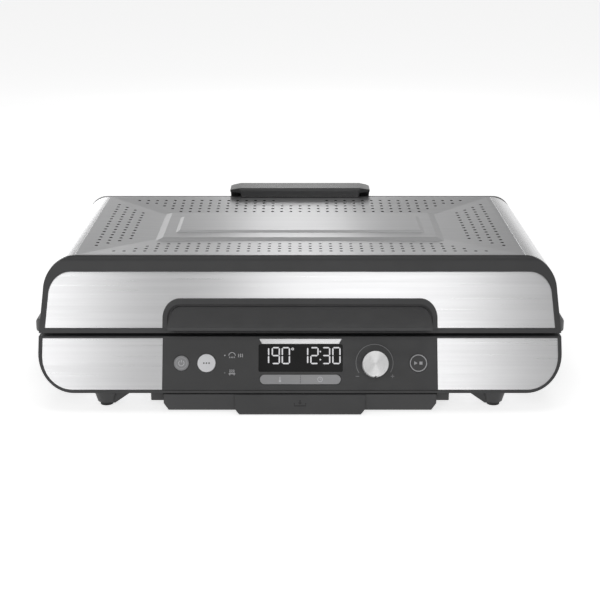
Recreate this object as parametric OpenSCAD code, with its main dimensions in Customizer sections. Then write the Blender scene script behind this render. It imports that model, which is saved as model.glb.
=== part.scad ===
// Electric indoor grill with a hinged, perforated lid.
// X runs to the right, Y to the back and Z up. The origin lies on the plane of the
// feet, midway between the four of them. Sizes are in millimetres and degrees.

/* [Body] */
// Width of the lid and the base at the seam
body_w = 520; // [480:1:560]
// Depth of the body from the seam's front edge to the rear wall
body_d = 305; // [295:1:330]
// Height of the base housing
base_h = 51; // [48:0.2:60]
// Height of the lid from its lower edge to its top sheet
lid_h = 70; // [64:0.5:84]
// Gap between the closed lid and the base
seam_gap = 3; // [2:0.1:4]
// Lean of the front faces from the vertical
front_tilt = 25; // [18:1:30]
// Height of the feet
foot_h = 20; // [19:0.5:28]
// Moulded wall of the base housing
shell_t = 3; // [2.4:0.1:3.4]
// Radius of the base's lower long corners
base_corner_r = 36.5; // [20:0.5:40]
// Radius along the base's lower rear edge
base_rear_r = 8; // [4:1:12]

/* [Lid] */
// Radius of the lid's upper long corners
lid_corner_r = 30.5; // [18:0.5:36]
// Draw-in of each lid side between the seam and the upper corner
lid_draft = 3; // [0:0.5:6]
// Radius along the top of the lid's front
lid_front_r = 8; // [5:0.5:12]
// Radius along the top of the lid's rear
lid_rear_r = 14; // [8:1:20]
// Thickness of the steel sheets
sheet_t = 1.2; // [1:0.1:1.6]
// Wall of the moulded lid frames
frame_t = 2.5; // [2:0.1:3]
// How far the moulded frames stand proud of the front panels
frame_proud = 1.5; // [0.8:0.1:2.4]
// Thickness of the steel front panels
panel_t = 1; // [0.8:0.1:1.2]
// Width of the black frame beside the lid's front panel
lid_frame_side = 5.2; // [4.5:0.1:10]
// Radius of the front panel's upper corners
lid_panel_r = 22; // [10:1:26]
// Width of the black frame under the lid's front panel
lid_frame_low = 4; // [3:0.5:6]
// Height of the black band above the lid's front panel
lid_band_h = 14; // [12:0.1:20]

/* [Top sheet] */
// Diameter of a vent hole
vent_d = 3.6; // [2.4:0.1:4]
// Distance between hole columns
vent_pitch_x = 10.55; // [10:0.05:10.8]
// Distance between hole rows
vent_pitch_y = 11; // [10:0.1:11.2]
// Slope of the dished top
dish_slope = 2.9; // [1:0.1:3.5]
// Width of the flat rim round the dish
dish_rim = 4; // [2:0.5:6]
// Width of the raised field on the top
field_w = 306; // [280:1:320]
// Depth of the raised field on the top
field_d = 120; // [100:1:122]
// Height of the raised field above the dish's floor
field_rise = 3; // [1.5:0.1:5]
// Width of the inner raised panel
inner_w = 268; // [240:1:276]
// Depth of the inner raised panel
inner_d = 68; // [50:1:76]
// Height of the inner raised panel above the field
inner_rise = 1.8; // [1:0.1:4]

/* [Lid handle] */
// Width of the handle
handle_w = 274; // [220:1:300]
// Height of the handle's flange
handle_h = 27.1; // [24:0.1:34]
// Corner radius of the handle's flange
handle_r = 17; // [8:1:20]
// Width of the flange's rim
handle_rim = 5; // [4:0.5:7]
// Height of the flange above the panel
flange_t = 2.4; // [1.5:0.1:3.5]
// Reach of the grip in front of the panel
grip_reach = 20; // [16:1:30]
// Wall of the grip
grip_t = 3; // [2.5:0.1:4]

/* [Hinge] */
// Width of the hinge cover on the lid
cover_w = 167; // [120:1:180]
// Height of the hinge cover above the lid
cover_rise = 11.2; // [10:0.1:18]
// Distance that the hinge cover reaches forward over the top sheet
cover_lap = 6; // [0.5:0.5:13]
// Thickness of the hinge cover behind the lid
cover_t = 13; // [10:0.5:18]
// Distance of the hinge axis behind the rear wall
hinge_out = 9; // [9:0.5:12]
// Diameter of a hinge pin
pin_d = 6; // [4:0.5:8]
// Radius of the hinge knuckles
knuckle_r = 8; // [6:0.5:8.3]
// Distance of the hinge arms from the middle
arm_x = 52; // [40:1:60]
// Width of a hinge arm
arm_w = 16; // [10:1:20]

/* [Controls] */
// Width of the control fascia
fascia_w = 273; // [270:1:290]
// Thickness of the control fascia
fascia_t = 2.4; // [2:0.1:2.8]
// Diameter of the power button
power_d = 14.7; // [12:0.1:17]
// Diameter of the mode button
mode_d = 17.8; // [14:0.1:20]
// Diameter of the start and stop button
start_d = 17.6; // [14:0.1:20]
// Travel of the buttons
button_travel = 1; // [0.5:0.1:1.2]
// Width of the display window
window_w = 83.2; // [70:0.2:90]
// Height of the display window
window_h = 26.9; // [22:0.1:27.5]
// Width of the two-way key
key_w = 80; // [60:1:86]
// Height of the two-way key
key_h = 9.4; // [7:0.1:10]
// Diameter of the knob
knob_d = 25.4; // [20:0.2:30]
// Height of the knob above the fascia
knob_h = 15; // [12:0.5:20]
// Diameter of the encoder's shaft
shaft_d = 6; // [5:0.5:7]

/* [Cooking well and plate] */
// Width of the cooking well
well_w = 430; // [410:1:440]
// Depth of the cooking well
well_d = 230; // [220:1:236]
// Height of the plate's rim
plate_h = 10; // [9:0.5:10.5]
// Thickness of the plate's floor
plate_floor = 4; // [3:0.5:5]
// Thickness of the plate's rim
plate_wall = 4; // [3:0.5:6]
// Width of the gutter round the ribs
gutter_w = 12; // [11:0.5:13]
// Distance between ribs
rib_pitch = 14; // [12:0.5:18]
// Width of a rib
rib_w = 4; // [3:0.5:6]
// Height of a rib above the plate's floor
rib_h = 4.6; // [3:0.2:5]
// Width of the drain slot
drain_w = 40; // [30:1:50]
// Diameter of the heating tube
tube_d = 6.6; // [6:0.1:8]
// Radius of the heating tube's bends
bend_r = 25; // [22:0.5:26]

/* [Drip tray] */
// Width of the tray across its front
tray_w = 270; // [240:1:280]
// Depth of the tray from its front to its rear wall
tray_d = 232; // [200:1:260]
// Wall of the tray
tray_t = 2; // [1.6:0.1:2.6]
// Height of the tray's underside above the ground
tray_lift = 2; // [2:0.5:4]
// Width of the tray's pull
pull_w = 130; // [100:1:160]
// Reach of the pull's lower edge in front of the tray
pull_reach = 7; // [5:0.5:9]

/* [Feet and side handles] */
// Distance between the front and the rear feet
feet_span_y = 294; // [270:1:300]
// Distance between the left and the right feet
feet_span_x = 390; // [360:1:400]
// Distance of the front feet behind the base's lower front edge
foot_setback = 21; // [16:0.1:24]
// Diameter of a rubber pad
pad_d = 13; // [10:0.5:15]
// Height of a rubber pad
pad_h = 6; // [4:0.5:8]
// Reach of a side handle
side_reach = 18.7; // [17:0.1:26]
// Length of a side handle
side_len = 160; // [120:1:180]
// Height of a side handle
side_h = 16; // [15:1:24]

/* [Hidden] */
$fn = 48;

// Clearances
fit = 0.05;          // between a shaft and its bearing
gap = 0.3;           // between pieces that move past each other
joint = 0.2;         // between fixed pieces laid side by side
bond = 0.05;         // under a panel stuck into its recess
over = 1;            // how far a cut runs past a face

// Heights
z_base_top = foot_h + base_h;
z_seam = z_base_top + seam_gap / 2;
z_lid_low = z_base_top + seam_gap;
z_top = z_lid_low + lid_h;

// Depths
bottom_front_y = -(feet_span_y / 2 + foot_setback);
seam_front_y = bottom_front_y + (z_seam - foot_h) * tan(front_tilt);
rear_y = seam_front_y + body_d;
top_rear_y = rear_y - lid_rear_r - 2;

// The front faces: the panel face is the plane of depth 0, inward is positive
function front_y(z) = seam_front_y + (z - z_seam) * tan(front_tilt);
function face_y(z, depth) = front_y(z) + depth / cos(front_tilt);
// A height below or above the seam for a distance along the sloped face
function slope(h) = h / cos(front_tilt);

// Lid: where the bullnose runs into the top
nose_z = z_top - lid_front_r;
nose_y = face_y(nose_z, lid_front_r - frame_proud);
top_front_y = nose_y;
frame_depth = (nose_y - front_y(z_top)) * cos(front_tilt);
top_half = body_w / 2 - lid_draft - lid_corner_r;
top_c_y = (top_front_y + top_rear_y) / 2;
band_z = z_top - lid_band_h;
flange_in = 10;                  // length of a frame's inner flange
groove_w = 2;                    // groove between the handle's rim and its grip
groove_floor = 0.5;              // sheet left under the groove
body_span = body_w + 200;        // longer than anything across the body

// Base
deck_t = 3;
cover_plate_t = 2;
lip = 6;                         // ledge that carries the bottom cover
floor_half = body_w / 2 - base_corner_r - 4;
floor_front_y = front_y(foot_h) + 24;
floor_rear_y = rear_y - base_rear_r - 8;
base_bar_top = 1.5;              // black bar over the base panels
base_bar_low = 2.3;              // black bar under the base panels
panel_side = 3.4;                // black frame beside the base panels
base_panel_r = 31.5;             // lower corners of the base panels
front_reach = 60;                // cuts through the front face reach this far ahead
front_depth = 40;                // and this far behind the seam's edge
shell_rim = 10;                  // how far a body's outline runs past its rear wall
cooling_slot_w = 36;
cooling_slot_d = 5;
cooling_slot_pitch = 20;
panel_low_z = foot_h + base_bar_low;
panel_high_z = z_base_top - base_bar_top;
fascia_ledge = 3;
fascia_proud = 0.8;              // of the fascia over the steel panels

// Cooking well
well_wall = 1.2;
well_rim = 8;                    // flange on the deck
well_step = 8;                   // ledge that carries the plate
well_back = 37;                  // of the well behind the seam's front edge
well_c_y = seam_front_y + well_back + well_d / 2;
plate_sink = 0.8;                // of the plate's rim under the deck's flange
plate_z = z_base_top + well_wall - plate_sink - plate_h;
well_floor_z = foot_h + 10;
element_drop = 10;               // gap between the plate and the heating tube
element_z = plate_z - element_drop - tube_d / 2;
terminal_x = 15;                 // of the two ends of the heating tube
block_side = 14;                 // of the terminal block beyond them
block_d = 12;
block_h = 18;
run_half = well_w / 2 - well_step - well_wall - bend_r - 10;
support_w = 3;
support_tail = 8;                // of a support past the outer runs
support_share = 0.62;            // place of a support along a run
shield_t = 0.8;
shield_drop = 4;                 // of the heat shield under the well

// Controls: places on the sloped face, from the middle and from the seam
row_s = -28.9;
power_margin = 18.8;             // from the fascia's left end
start_margin = 19;             // from the fascia's right end
button_space = 8.65;             // between the power and the mode button
power_u = -fascia_w / 2 + power_margin;
mode_u = power_u + power_d / 2 + button_space + mode_d / 2;
start_u = fascia_w / 2 - start_margin;
window_u = 0.6;
knob_space = 19.3;               // between the display window and the knob
knob_u = window_u + window_w / 2 + knob_space + knob_d / 2;
knob_s = -30.6;
window_s = -23.8;
key_u = 0.3;
key_s = -45.1;
trim_w = window_w - 0.7;
trim_h = 5.4;
trim_s = -7;
trim_slant = 3;                  // draw-in of the trim's ends at its lower edge
trim_proud = 1.2;
board_depth = 11;
board_t = 1.6;
switch_w = 6;
switch_h = 3.6;
cap_proud = 1;
stem_r = 2.4;
bushing_r = 4.6;
cap_wall = 1.4;                  // of the knob's metal cap
cap_gap = 1.4;                   // under the knob
notch_w = 1.8;                   // pointer notch in the knob's edge
notch_depth = 0.9;
key_axis_depth = 5;
key_pin_r = 1.4;
key_stem_in = 8;                 // from the key's ends to its stems

// Tray
tray_top_z = foot_h - 0.6;
tray_front_y = front_y(foot_h) - 3.5;
tray_chamfer = 4.5;              // at the lower corners of the tray's front
tray_chamfer_h = 8;
tray_lean = 2;                   // of the lower part of the tray's front
tray_lean_h = 7.5;
tray_front_t = 5;
tray_foot_d = 11;                 // solid foot of the tray's front
pull_cut = 5;                    // at the lower corners of the pull
tray_flange = 5.5;
tray_half = tray_w / 2 - 1.5 - tray_flange;
rail_z = tray_lift + 9.2;
rail_lip = 2;
rail_w = 12.5;
rail_setback = 6;                // of a rail's end behind the base's front edge
chute_w = drain_w + 16;
drain_d = 6;
spout_wall = 2;
chute_d = drain_d + 2 * spout_wall;
drain_y = well_c_y - well_d / 2 + well_step + well_wall + chute_d / 2 + 0.5;

// Hinge
hinge_y = rear_y + hinge_out;
hinge_z = z_seam;
lug_w = 8;
arm_back_y = hinge_y + knuckle_r - 3;
arm_top_z = z_seam + 30;
arm_screw_low = 12;              // heights of the arm's screws above the seam
arm_screw_high = 22;
arm_screw_r = 3;
pin_half = arm_w / 2 + gap + lug_w;
cover_top = z_top + cover_rise;
cover_end_w = 12;                // sloped ends of the hinge cover
cover_end_h = 3;
cover_plan_w = 15;               // its ends drawn back in plan
cover_plan_d = 7;
undercut_w = 13;                 // hollow under each end of the hinge cover
undercut_h = 5.5;

// Small pieces
gland_x = -body_w / 2 + 55;
gland_z = foot_h + 18;
gland_r = 8;
gland_bore_r = 3.9;
inlet_w = 28;                    // plate round the gland
inlet_d = base_rear_r + 1.5;
inlet_top = gland_z + gland_r + 2.3;
screw_r = 1.9;
screw_head_r = 3.4;
power_board_w = 150;
power_board_d = 18;
post_h = 12;
field_shift = -4;                // of the raised field towards the front
fin_w = 10;                      // rib beside a foot
fin_l = 24;
fin_low = 2.4;
fin_high = 13;

// ---------------------------------------------------------------- helpers

// Raise an outline drawn in X and Z between two depths
module along_y(y0, y1) {
    translate([0, y1, 0]) rotate([90, 0, 0]) linear_extrude(y1 - y0) children();
}

// Raise a front view through the sloped front face
module through_front() {
    along_y(seam_front_y - front_reach, seam_front_y + front_depth) children();
}

// Raise a front view from ahead of the body to a depth behind it
module whole_depth(y1) {
    along_y(seam_front_y - front_depth, y1) children();
}

// Raise an outline drawn in Y and Z across the body
module along_x(x0, x1) {
    translate([x0, 0, 0]) rotate([90, 0, 90]) linear_extrude(x1 - x0) children();
}

// Place on the sloped face: u across, s up the slope from the seam, depth inward
module on_face(u, s, depth) {
    translate([0, seam_front_y, z_seam]) rotate([-front_tilt, 0, 0])
        translate([u, depth, s]) children();
}

// A round bar square to the sloped face, from one depth to another
module face_disc(u, s, r, d0, d1) {
    on_face(u, s, d0) rotate([-90, 0, 0]) cylinder(r = r, h = d1 - d0);
}

// Rectangle with round corners, centred
module round_rect(w, h, r) {
    square([w - 2 * r, h], center = true);
    square([w, h - 2 * r], center = true);
    for (x = [-1, 1], y = [-1, 1])
        translate([x * (w / 2 - r), y * (h / 2 - r)]) circle(r);
}

// A rounded plate square to the sloped face
module face_plate(u, s, w, h, r, d0, d1) {
    on_face(u, s, d1) rotate([90, 0, 0]) linear_extrude(d1 - d0) round_rect(w, h, r);
}

// The layer between two depths behind the sloped face
module face_layer(d0, d1, z0, z1) {
    along_x(-body_span / 2, body_span / 2)
        polygon([[face_y(z0, d0), z0], [face_y(z0, d1), z0],
                 [face_y(z1, d1), z1], [face_y(z1, d0), z1]]);
}

// A block whose top is smaller or larger than its foot
module taper_block(w0, d0, w1, d1, h) {
    polyhedron(
        points = [[-w0 / 2, -d0 / 2, 0], [w0 / 2, -d0 / 2, 0],
                  [w0 / 2, d0 / 2, 0], [-w0 / 2, d0 / 2, 0],
                  [-w1 / 2, -d1 / 2, h], [w1 / 2, -d1 / 2, h],
                  [w1 / 2, d1 / 2, h], [-w1 / 2, d1 / 2, h]],
        faces = [[0, 1, 2, 3], [7, 6, 5, 4], [0, 4, 5, 1],
                 [1, 5, 6, 2], [2, 6, 7, 3], [3, 7, 4, 0]]);
}

module mirrored_x() {
    children();
    mirror([1, 0, 0]) children();
}

// ---------------------------------------------------------------- outlines

// Front view of the lid, drawn in by the inset
module lid_outline(inset, low) {
    r = lid_corner_r - inset;
    low_half = body_w / 2 - inset;
    high_half = low_half - lid_draft;
    corner_z = z_top - lid_corner_r;
    polygon([[-low_half, low], [low_half, low],
             [high_half, corner_z], [-high_half, corner_z]]);
    translate([-top_half, low]) square([2 * top_half, z_top - inset - low]);
    for (side = [-1, 1]) translate([side * top_half, corner_z]) circle(r, $fn = 96);
}

// Side view of the lid, drawn in by the inset, with its front face moved out
module lid_profile(inset, proud, low) {
    top = z_top - inset;
    rear = rear_y - inset;
    rear_r = lid_rear_r - inset;
    nose_r = max(lid_front_r - inset, 1);
    depth = inset - proud;
    cz = top - nose_r;
    cy = face_y(cz, depth + nose_r);
    polygon([[face_y(low, depth), low],
             [cy - nose_r * cos(front_tilt), cz + nose_r * sin(front_tilt)],
             [cy, top], [rear - rear_r, top], [rear, top - rear_r], [rear, low]]);
    translate([cy, cz]) circle(nose_r);
    translate([rear - rear_r, top - rear_r]) circle(rear_r);
}

module lid_mass(inset, proud, low) {
    intersection() {
        along_x(-body_span / 2, body_span / 2) lid_profile(inset, proud, low);
        whole_depth(rear_y + shell_rim) lid_outline(inset, low);
    }
}

// Front view of the base, drawn in by the inset
module base_outline(inset, high) {
    r = base_corner_r - inset;
    half = body_w / 2 - inset;
    low = foot_h + inset;
    translate([-half, low + r]) square([2 * half, high - low - r]);
    translate([r - half, low]) square([2 * (half - r), high - low]);
    for (side = [-1, 1]) translate([side * (half - r), low + r]) circle(r, $fn = 96);
}

// Side view of the base, drawn in by the inset, with its front face moved out
module base_profile(inset, proud, high) {
    low = foot_h + inset;
    rear = rear_y - inset;
    r = max(base_rear_r - inset, 1);
    depth = inset - proud;
    polygon([[face_y(low, depth), low], [face_y(high, depth), high],
             [rear, high], [rear, low + r], [rear - r, low]]);
    translate([rear - r, low + r]) circle(r);
}

module base_mass(inset, proud, high) {
    intersection() {
        along_x(-body_span / 2, body_span / 2) base_profile(inset, proud, high);
        whole_depth(rear_y + shell_rim) base_outline(inset, high);
    }
}

// ---------------------------------------------------------------- base housing

// Opening for a base panel or the fascia, in front view
module base_window(inset) {
    half = body_w / 2 - panel_side - inset;
    low = panel_low_z + inset;
    high = panel_high_z - inset;
    r = base_panel_r - inset;
    intersection() {
        union() {
            translate([-half, low + r]) square([2 * half, high - low - r]);
            translate([r - half, low]) square([2 * (half - r), high - low]);
            for (side = [-1, 1])
                translate([side * (half - r), low + r]) circle(r, $fn = 96);
        }
        translate([-half, low]) square([2 * half, high - low]);
    }
}

module fascia_outline(inset) {
    half = fascia_w / 2 - inset;
    translate([-half, panel_low_z + inset])
        square([2 * half, panel_high_z - panel_low_z - 2 * inset]);
}

module base_shell() {
    color("#3c3c3e")
    difference() {
        union() {
            difference() {
                base_mass(0, frame_proud, z_base_top);
                base_mass(shell_t, 0, z_base_top + over);
                // open floor, with a ledge round it for the bottom cover
                translate([-floor_half, floor_front_y, foot_h - over])
                    cube([2 * floor_half, floor_rear_y - floor_front_y,
                          shell_t + 2 * over]);
            }
            // ledge and screw bosses for the bottom cover
            intersection() {
                difference() {
                    translate([-floor_half - lip, floor_front_y - lip,
                               foot_h + cover_plate_t])
                        cube([2 * (floor_half + lip),
                              floor_rear_y - floor_front_y + 2 * lip, shell_t]);
                    translate([-floor_half + lip, floor_front_y + lip, foot_h])
                        cube([2 * (floor_half - lip),
                              floor_rear_y - floor_front_y - 2 * lip, 2 * shell_t + over]);
                }
                base_mass(shell_t / 2, 0, z_base_top - deck_t);
            }
        }
        // recesses of the two panels and of the fascia
        intersection() {
            through_front() base_window(0);
            face_layer(-frame_proud - over, panel_t + bond, foot_h - over,
                       z_base_top + over);
        }
        intersection() {
            through_front() fascia_outline(0);
            face_layer(-frame_proud - over, fascia_t - fascia_proud + bond,
                       foot_h - over, z_base_top + over);
        }
        intersection() {
            through_front() fascia_outline(fascia_ledge);
            face_layer(-frame_proud - over, shell_t + over, foot_h - over,
                       z_base_top + over);
        }
        // notch that the cable inlet slides into from below
        inlet_block(joint);
        screw_holes(foot_h, 2 * shell_t + over);
    }
}

// Space of the cable inlet plate in the rear wall, open below
module inlet_block(grow) {
    half = inlet_w / 2 + grow;
    translate([gland_x - half, rear_y - inlet_d - grow, foot_h - over])
        cube([2 * half, inlet_d + grow + over, inlet_top + grow - foot_h + over]);
}

// Part of the rear wall that carries the cable gland
module cable_inlet_plate() {
    color("#38383a")
    difference() {
        intersection() {
            difference() {
                base_mass(0, frame_proud, z_base_top);
                base_mass(shell_t, 0, z_base_top + over);
            }
            inlet_block(0);
        }
        translate([gland_x, rear_y + over, gland_z]) rotate([90, 0, 0])
            cylinder(r = gland_r + joint, h = shell_t + 2 * over);
    }
}

// Frame round the cooking well, laid into the top of the housing
module base_deck() {
    color("#414143")
    difference() {
        intersection() {
            base_mass(shell_t + joint, 0, z_base_top);
            translate([-body_w, -body_w, z_base_top - deck_t])
                cube([2 * body_w, 2 * body_w, deck_t]);
        }
        translate([-well_w / 2 - joint, well_c_y - well_d / 2 - joint,
                   z_base_top - deck_t - over])
            cube([well_w + 2 * joint, well_d + 2 * joint, deck_t + 2 * over]);
    }
}

module bottom_cover() {
    color("#8c8e90")
    difference() {
        translate([-floor_half + joint, floor_front_y + joint, foot_h])
            cube([2 * (floor_half - joint), floor_rear_y - floor_front_y - 2 * joint,
                  cover_plate_t]);
        // way for the grease
        translate([-chute_w / 2 - joint, drain_y - chute_d / 2 - joint, foot_h - over])
            cube([chute_w + 2 * joint, chute_d + 2 * joint, cover_plate_t + 2 * over]);
        // cooling slots on both sides of the tray
        mirrored_x() for (i = [-4.5:4.5])
            translate([tray_w / 2 + 2 * rail_w, i * cooling_slot_pitch, foot_h - over])
                cube([cooling_slot_w, cooling_slot_d, cover_plate_t + 2 * over]);
        screw_holes(foot_h - over, cover_plate_t + 2 * over);
    }
}

module base_panel(side) {
    intersection() {
        through_front() base_window(joint);
        face_layer(0, panel_t, foot_h, z_base_top);
        translate([side > 0 ? fascia_w / 2 + joint : -body_w / 2, -body_w, 0])
            cube([body_w / 2 - fascia_w / 2 - joint, 2 * body_w, z_top]);
    }
}

module base_panel_left() { color("#c9cacc") base_panel(-1); }
module base_panel_right() { color("#c9cacc") base_panel(1); }

// ---------------------------------------------------------------- controls

module control_fascia() {
    color("#333335")
    difference() {
        intersection() {
            through_front() fascia_outline(joint);
            face_layer(-fascia_proud, fascia_t - fascia_proud, foot_h, z_base_top);
        }
        face_disc(power_u, row_s, power_d / 2 + gap, -2 * over, fascia_t + over);
        face_disc(mode_u, row_s, mode_d / 2 + gap, -2 * over, fascia_t + over);
        face_disc(start_u, row_s, start_d / 2 + gap, -2 * over, fascia_t + over);
        face_disc(knob_u, knob_s, bushing_r + gap, -2 * over, fascia_t + over);
        face_plate(window_u, window_s, window_w + 2 * joint, window_h + 2 * joint, 1.5,
                   -2 * over, fascia_t + over);
        face_plate(key_u, key_s, key_w + 2 * gap, key_h + 2 * gap, key_h / 2,
                   -2 * over, fascia_t + over);
        trim_bar(joint, -2 * over, 0);
    }
}

// Bar over the display with slanted ends
module trim_bar(grow, d0, d1) {
    half = trim_w / 2 + grow;
    high = trim_h / 2 + grow;
    on_face(window_u, trim_s, d1) rotate([90, 0, 0]) linear_extrude(d1 - d0)
        polygon([[-half, high], [half, high], [half - trim_slant, -high],
                 [trim_slant - half, -high]]);
}

module display_trim() {
    color("#d6d7d9")
    intersection() {
        trim_bar(0, -trim_proud, 0);
        through_front() fascia_outline(joint);
    }
}

module display_window() {
    color("#121214")
    face_plate(window_u, window_s, window_w, window_h, 1.5, -0.6,
               fascia_t - fascia_proud);
}

module display_module() {
    color("#e6e6e2")
    face_plate(window_u, window_s, window_w - 4, window_h - 3, 0.5,
               fascia_t - 0.6, board_depth);
}

module control_board() {
    color("#2c6b3c")
    intersection() {
        face_plate(0, -30, fascia_w - 20, 44, 2, board_depth, board_depth + board_t);
        translate([-body_w / 2, -body_w, foot_h + shell_t + 1])
            cube([body_w, 2 * body_w, base_h]);
    }
}

module tact_switch(u, s) {
    face_plate(u, s, switch_w, switch_w, 0.5, board_depth - switch_h, board_depth);
}

module button_switches() {
    color("#b9babc") {
        tact_switch(power_u, row_s);
        tact_switch(mode_u, row_s);
        tact_switch(start_u, row_s);
        for (side = [-1, 1]) tact_switch(key_u + side * (key_w / 2 - key_stem_in), key_s);
    }
}

// A round cap with a stem that reaches for its switch
module push_button(u, r) {
    face_disc(u, row_s, r, -fascia_proud - cap_proud, fascia_t);
    face_disc(u, row_s, stem_r, fascia_t - bond, board_depth - switch_h - button_travel - 0.2);
}

module power_button() { color("#8f9092") push_button(power_u, power_d / 2); }
module mode_button() { color("#c4c5c7") push_button(mode_u, mode_d / 2); }
module start_button() { color("#3a3a3c") push_button(start_u, start_d / 2); }

module temp_time_key() {
    color("#8c8d8f") {
        face_plate(key_u, key_s, key_w, key_h, key_h / 2 - 0.05,
                   -fascia_proud - cap_proud, fascia_t);
        // web to the pivot pin, and the two stems over the switches
        face_plate(key_u, key_s, 2, key_h - 4.4, 0.5, fascia_t - bond, key_axis_depth);
        on_face(key_u, key_s - key_h / 2 + 0.4, key_axis_depth)
            cylinder(r = key_pin_r, h = key_h - 0.8);
        for (side = [-1, 1])
            face_disc(key_u + side * (key_w / 2 - key_stem_in), key_s, 2, fascia_t - bond,
                      board_depth - switch_h - button_travel - 0.4);
    }
}

module key_pivot() {
    color("#d8d8d4")
    difference() {
        for (end = [-1, 1])
            face_plate(key_u, key_s + end * (key_h / 2 - 1.1), 7, 1.4, 0.3,
                       fascia_t + gap, key_axis_depth + key_pin_r + 1.4);
        on_face(key_u, key_s - key_h, key_axis_depth)
            cylinder(r = key_pin_r + fit, h = 2 * key_h);
    }
}

module knob_encoder() {
    color("#9a9b9d")
    difference() {
        union() {
            face_plate(knob_u, knob_s, 13, 13, 0.8, fascia_t + 1.6, board_depth);
            face_disc(knob_u, knob_s, bushing_r, -2.2, fascia_t + 2);
        }
        face_disc(knob_u, knob_s, shaft_d / 2 + fit, -4, board_depth - 2);
    }
}

module encoder_shaft() {
    color("#c8c9cb")
    face_disc(knob_u, knob_s, shaft_d / 2, -knob_h + 2, board_depth - 2 - gap);
}

module knob_cap() {
    color("#d9dadc")
    difference() {
        face_disc(knob_u, knob_s, knob_d / 2, -knob_h - fascia_proud, -cap_gap);
        face_disc(knob_u, knob_s, knob_d / 2 - cap_wall, -knob_h + 0.6, 0);
        // pointer notch
        on_face(knob_u - notch_w / 2, knob_s - knob_d / 2 - over, -knob_h - 2 * over)
            cube([notch_w, knob_h + 3 * over, over + notch_depth]);
    }
}

module knob_core() {
    color("#2a2a2c")
    difference() {
        face_disc(knob_u, knob_s, knob_d / 2 - cap_wall - fit, -knob_h + 0.6 + fit,
                  -cap_gap);
        face_disc(knob_u, knob_s, shaft_d / 2 + fit / 2, -knob_h + 2 - fit, 0);
        face_disc(knob_u, knob_s, bushing_r + gap, -2.2 - gap, 0);
    }
}

module power_board() {
    relay = 15;
    relay_l = 19;
    choke_r = 8.5;
    capacitor_r = 7;
    x = -well_w / 4 - gland_r;
    y = well_c_y + well_d / 2 + 1 + power_board_d / 2;
    z = foot_h + cover_plate_t + post_h;
    color("#2c6b3c")
    translate([x, y, z]) {
        translate([-power_board_w / 2, -power_board_d / 2, 0])
            cube([power_board_w, power_board_d, board_t]);
        // relays, choke and capacitor
        for (x = [-0.4, -0.23])
            translate([x * power_board_w, -relay / 2, board_t])
                cube([relay_l, relay, relay]);
        translate([0.05 * power_board_w, 0, board_t]) cylinder(r = choke_r, h = relay);
        translate([0.27 * power_board_w, 0, board_t])
            cylinder(r = capacitor_r, h = relay + 3);
        // posts down to the bottom cover
        for (sx = [-1, 1], sy = [-1, 0.5])
            translate([sx * (power_board_w / 2 - 5), sy * (power_board_d / 2 - 4), 0])
                mirror([0, 0, 1]) cylinder(r = 2.5, h = post_h);
    }
}

// ---------------------------------------------------------------- well and heat

module well_box(inset, z0, z1) {
    translate([-well_w / 2 + inset, well_c_y - well_d / 2 + inset, z0])
        cube([well_w - 2 * inset, well_d - 2 * inset, z1 - z0]);
}

module well_liner() {
    step_z = plate_z - gap;
    color("#b4b6b8")
    difference() {
        union() {
            well_box(-well_rim, z_base_top, z_base_top + well_wall);
            well_box(0, step_z - well_wall, z_base_top + well_wall);
            well_box(well_step, well_floor_z, step_z);
        }
        well_box(well_wall, step_z, z_top);
        well_box(well_step + well_wall, well_floor_z + well_wall, z_top);
        translate([-chute_w / 2 - joint, drain_y - chute_d / 2 - joint,
                   well_floor_z - over])
            cube([chute_w + 2 * joint, chute_d + 2 * joint, well_wall + 2 * over]);
        for (side = [-1, 1])
            translate([side * terminal_x, well_c_y + well_d / 2, element_z])
                rotate([90, 0, 0]) cylinder(r = tube_d / 2 + 0.4, h = 2 * well_step);
    }
}

// One leg of the heating tube, from its terminal to the middle of the front run
module tube_leg() {
    r = tube_d / 2;
    far = 1.5 * 2 * bend_r;
    tail_y = far + bend_r;
    tail_l = well_d / 2 - tail_y + 8;
    turn_x = terminal_x + bend_r;
    translate([terminal_x, tail_y, 0]) rotate([-90, 0, 0]) cylinder(r = r, h = tail_l);
    translate([turn_x, tail_y, 0]) rotate([0, 0, 180])
        rotate_extrude(angle = 90) translate([bend_r, 0]) circle(r);
    for (i = [0:3])
        translate([i == 3 ? 0 : turn_x, far - 2 * bend_r * i, 0]) rotate([0, 90, 0])
            cylinder(r = r, h = run_half - (i == 3 ? 0 : turn_x));
    for (i = [0, 2])
        translate([run_half, far - bend_r - 2 * bend_r * i, 0]) rotate([0, 0, -90])
            rotate_extrude(angle = 180) translate([bend_r, 0]) circle(r);
    translate([turn_x, 0, 0]) rotate([0, 0, 90])
        rotate_extrude(angle = 180) translate([bend_r, 0]) circle(r);
}

module heating_element() {
    color("#5a5450")
    translate([0, well_c_y, element_z]) mirrored_x() tube_leg();
}

module element_supports() {
    h = element_z - tube_d / 2 - joint - well_floor_z - well_wall;
    color("#9c9ea0")
    for (side = [-1, 1])
        translate([side * support_share * run_half - support_w / 2,
                   well_c_y - 3 * bend_r - support_tail, well_floor_z + well_wall])
            cube([support_w, 6 * bend_r + 2 * support_tail, h]);
}

module terminal_block() {
    color("#e8e2d4")
    difference() {
        translate([-terminal_x - block_side, well_c_y + well_d / 2 + joint,
                   element_z - block_h / 2])
            cube([2 * (terminal_x + block_side), block_d, block_h]);
        for (side = [-1, 1])
            translate([side * terminal_x, well_c_y + well_d / 2, element_z])
                rotate([-90, 0, 0]) cylinder(r = tube_d / 2 + 0.1, h = 8 + joint);
    }
}

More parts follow.
